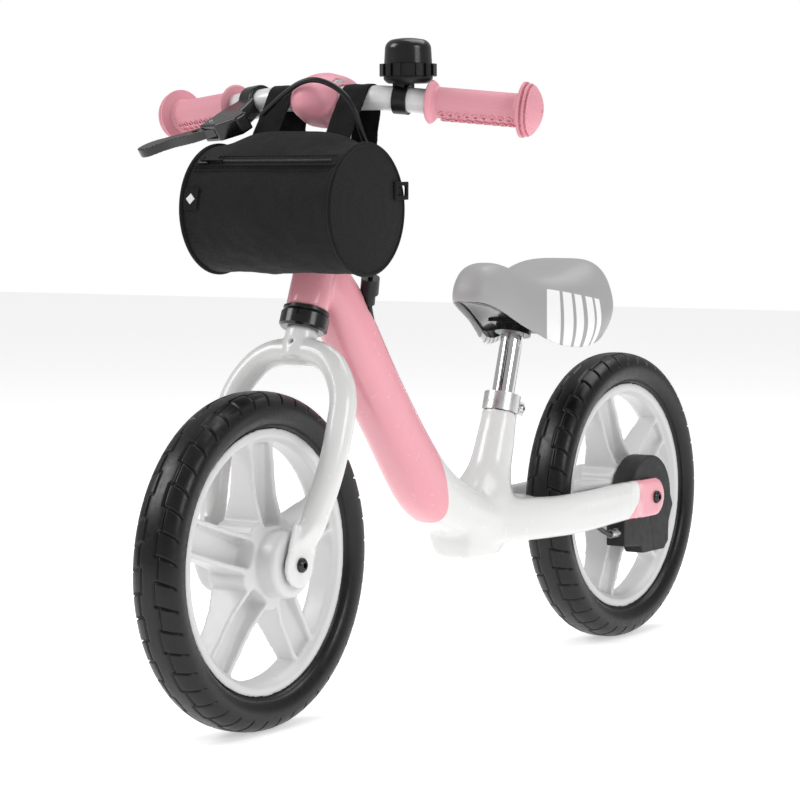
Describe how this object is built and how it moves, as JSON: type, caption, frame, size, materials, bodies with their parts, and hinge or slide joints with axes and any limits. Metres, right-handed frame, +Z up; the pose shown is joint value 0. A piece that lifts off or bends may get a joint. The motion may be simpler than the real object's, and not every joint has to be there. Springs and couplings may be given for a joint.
{
  "type": "balance bike",
  "caption": "Child's pedal-free balance bike with a cast step-through frame, padded saddle, handlebar bag, bell and a hand-operated rear band brake.",
  "frame": {"origin": "on the ground, midway between the two wheel centres, in the bike's middle plane", "axes": "+X towards the rider's left, +Y towards the rear wheel, +Z up; the front wheel is at -Y"},
  "size_m": [0.412, 0.94, 0.609],
  "materials": {
    "white_paint": "glossy white enamel",
    "white_plastic": "moulded white plastic",
    "tyre_rubber": "black foam tyre",
    "pink_rubber": "matt pink rubber",
    "pink_plastic": "soft matt pink cover",
    "black_plastic": "black moulded plastic",
    "black_rubber": "black rubber",
    "black_steel": "blackened steel",
    "bright_steel": "plain steel",
    "alloy": "satin aluminium",
    "chrome": "bright chrome plate",
    "bag_fabric": "woven black polyester",
    "webbing": "black nylon webbing",
    "badge_fabric": "plain pale patch",
    "saddle_skin": "grey synthetic leather"
  },
  "bodies": {
    "frame": {"main_frame": "white_paint", "headset_lower_cup": "black_steel", "headset_upper_cup": "black_steel", "seat_clamp": "alloy", "seat_clamp_bolt": "bright_steel", "seat_clamp_ear_left": "alloy", "seat_clamp_ear_right": "alloy", "cable_grommet": "black_rubber", "brake_cable_rear": "black_rubber", "brake_cable_front": "black_rubber", "rear_axle": "bright_steel", "rear_bolt_left": "black_steel", "rear_bolt_right": "black_steel", "brake_housing": "black_plastic", "brake_band": "bright_steel", "brake_arm_pin": "bright_steel", "cable_adjuster": "bright_steel"},
    "steering": {"fork": "white_paint", "limiter_collar": "black_plastic", "stem": "white_paint", "stem_pad": "pink_plastic", "handlebar": "white_paint", "grip_left": "pink_rubber", "grip_right": "pink_rubber", "lever_bracket": "black_plastic", "lever_pivot": "bright_steel", "bracket_bolt": "bright_steel", "bell_clamp": "black_plastic", "bell_base": "black_plastic", "bell_dome": "black_steel", "bag_body": "bag_fabric", "bag_piping_left": "bag_fabric", "bag_piping_right": "bag_fabric", "bag_zip": "webbing", "bag_badge": "badge_fabric", "bag_strap_left": "webbing", "bag_strap_right": "webbing", "bag_loop": "webbing", "front_axle": "bright_steel", "front_bolt_left": "black_steel", "front_bolt_right": "black_steel"},
    "front_wheel": {"front_tyre": "tyre_rubber", "front_rim": "white_plastic", "front_bearing_left": "bright_steel", "front_bearing_right": "bright_steel"},
    "rear_wheel": {"rear_tyre": "tyre_rubber", "rear_rim": "white_plastic", "rear_bearing_left": "bright_steel", "rear_bearing_right": "bright_steel", "brake_drum": "bright_steel"},
    "saddle": {"seatpost": "chrome", "saddle_clamp": "black_steel", "saddle_pan": "black_plastic", "saddle_cover": "saddle_skin"},
    "brake_lever": {"brake_lever": "black_plastic"},
    "brake_arm": {"brake_arm": "bright_steel"},
    "bell_ring": {"bell_ring": "black_plastic"},
    "zip_slider": {"zip_slider": "black_steel"},
    "zip_pull": {"zip_pull": "black_steel"}
  },
  "joints": [
    {"name": "steering", "type": "hinge", "parent": "frame", "child": "steering", "pos_m": [0, -0.32, 0.15], "axis": [0, 0.3584, 0.9336], "range_deg": [-35, 35], "deforming": ["brake_cable_front"]},
    {"name": "front_wheel_spin", "type": "hinge", "parent": "steering", "child": "front_wheel", "pos_m": [0, -0.32, 0.15], "axis": [1, 0, 0], "continuous": true},
    {"name": "rear_wheel_spin", "type": "hinge", "parent": "frame", "child": "rear_wheel", "pos_m": [0, 0.32, 0.15], "axis": [1, 0, 0], "continuous": true},
    {"name": "brake_lever", "type": "hinge", "parent": "steering", "child": "brake_lever", "pos_m": [-0.09636, -0.24217, 0.52971], "axis": [0.2081, 0.453, -0.8669], "range_deg": [0, 18], "stiffness_Nm_per_rad": 0.6, "springref_deg": -20.05},
    {"name": "brake_arm", "type": "hinge", "parent": "frame", "child": "brake_arm", "pos_m": [0.035, 0.283, 0.112], "axis": [1, 0, 0], "range_deg": [0, 9]},
    {"name": "bell_twist", "type": "hinge", "parent": "steering", "child": "bell_ring", "pos_m": [0.086, -0.19987, 0.58], "axis": [0, 0, 1], "range_deg": [0, 45], "stiffness_Nm_per_rad": 0.02},
    {"name": "seatpost_slide", "type": "slide", "parent": "frame", "child": "saddle", "axis": [0, 0.3057, 0.9521], "range_m": [-0.03, 0.05]},
    {"name": "zip_slide", "type": "slide", "parent": "steering", "child": "zip_slider", "axis": [1, 0, 0], "range_m": [0, 0.134]},
    {"name": "zip_pull_flip", "type": "hinge", "parent": "zip_slider", "child": "zip_pull", "pos_m": [-0.067, -0.29915, 0.5037], "axis": [0, -0.7431, -0.6691], "range_deg": [0, 150]}
  ],
  "couplings": [
    {"joint": "brake_arm", "follows": "brake_lever", "ratio": 0.5}
  ]
}
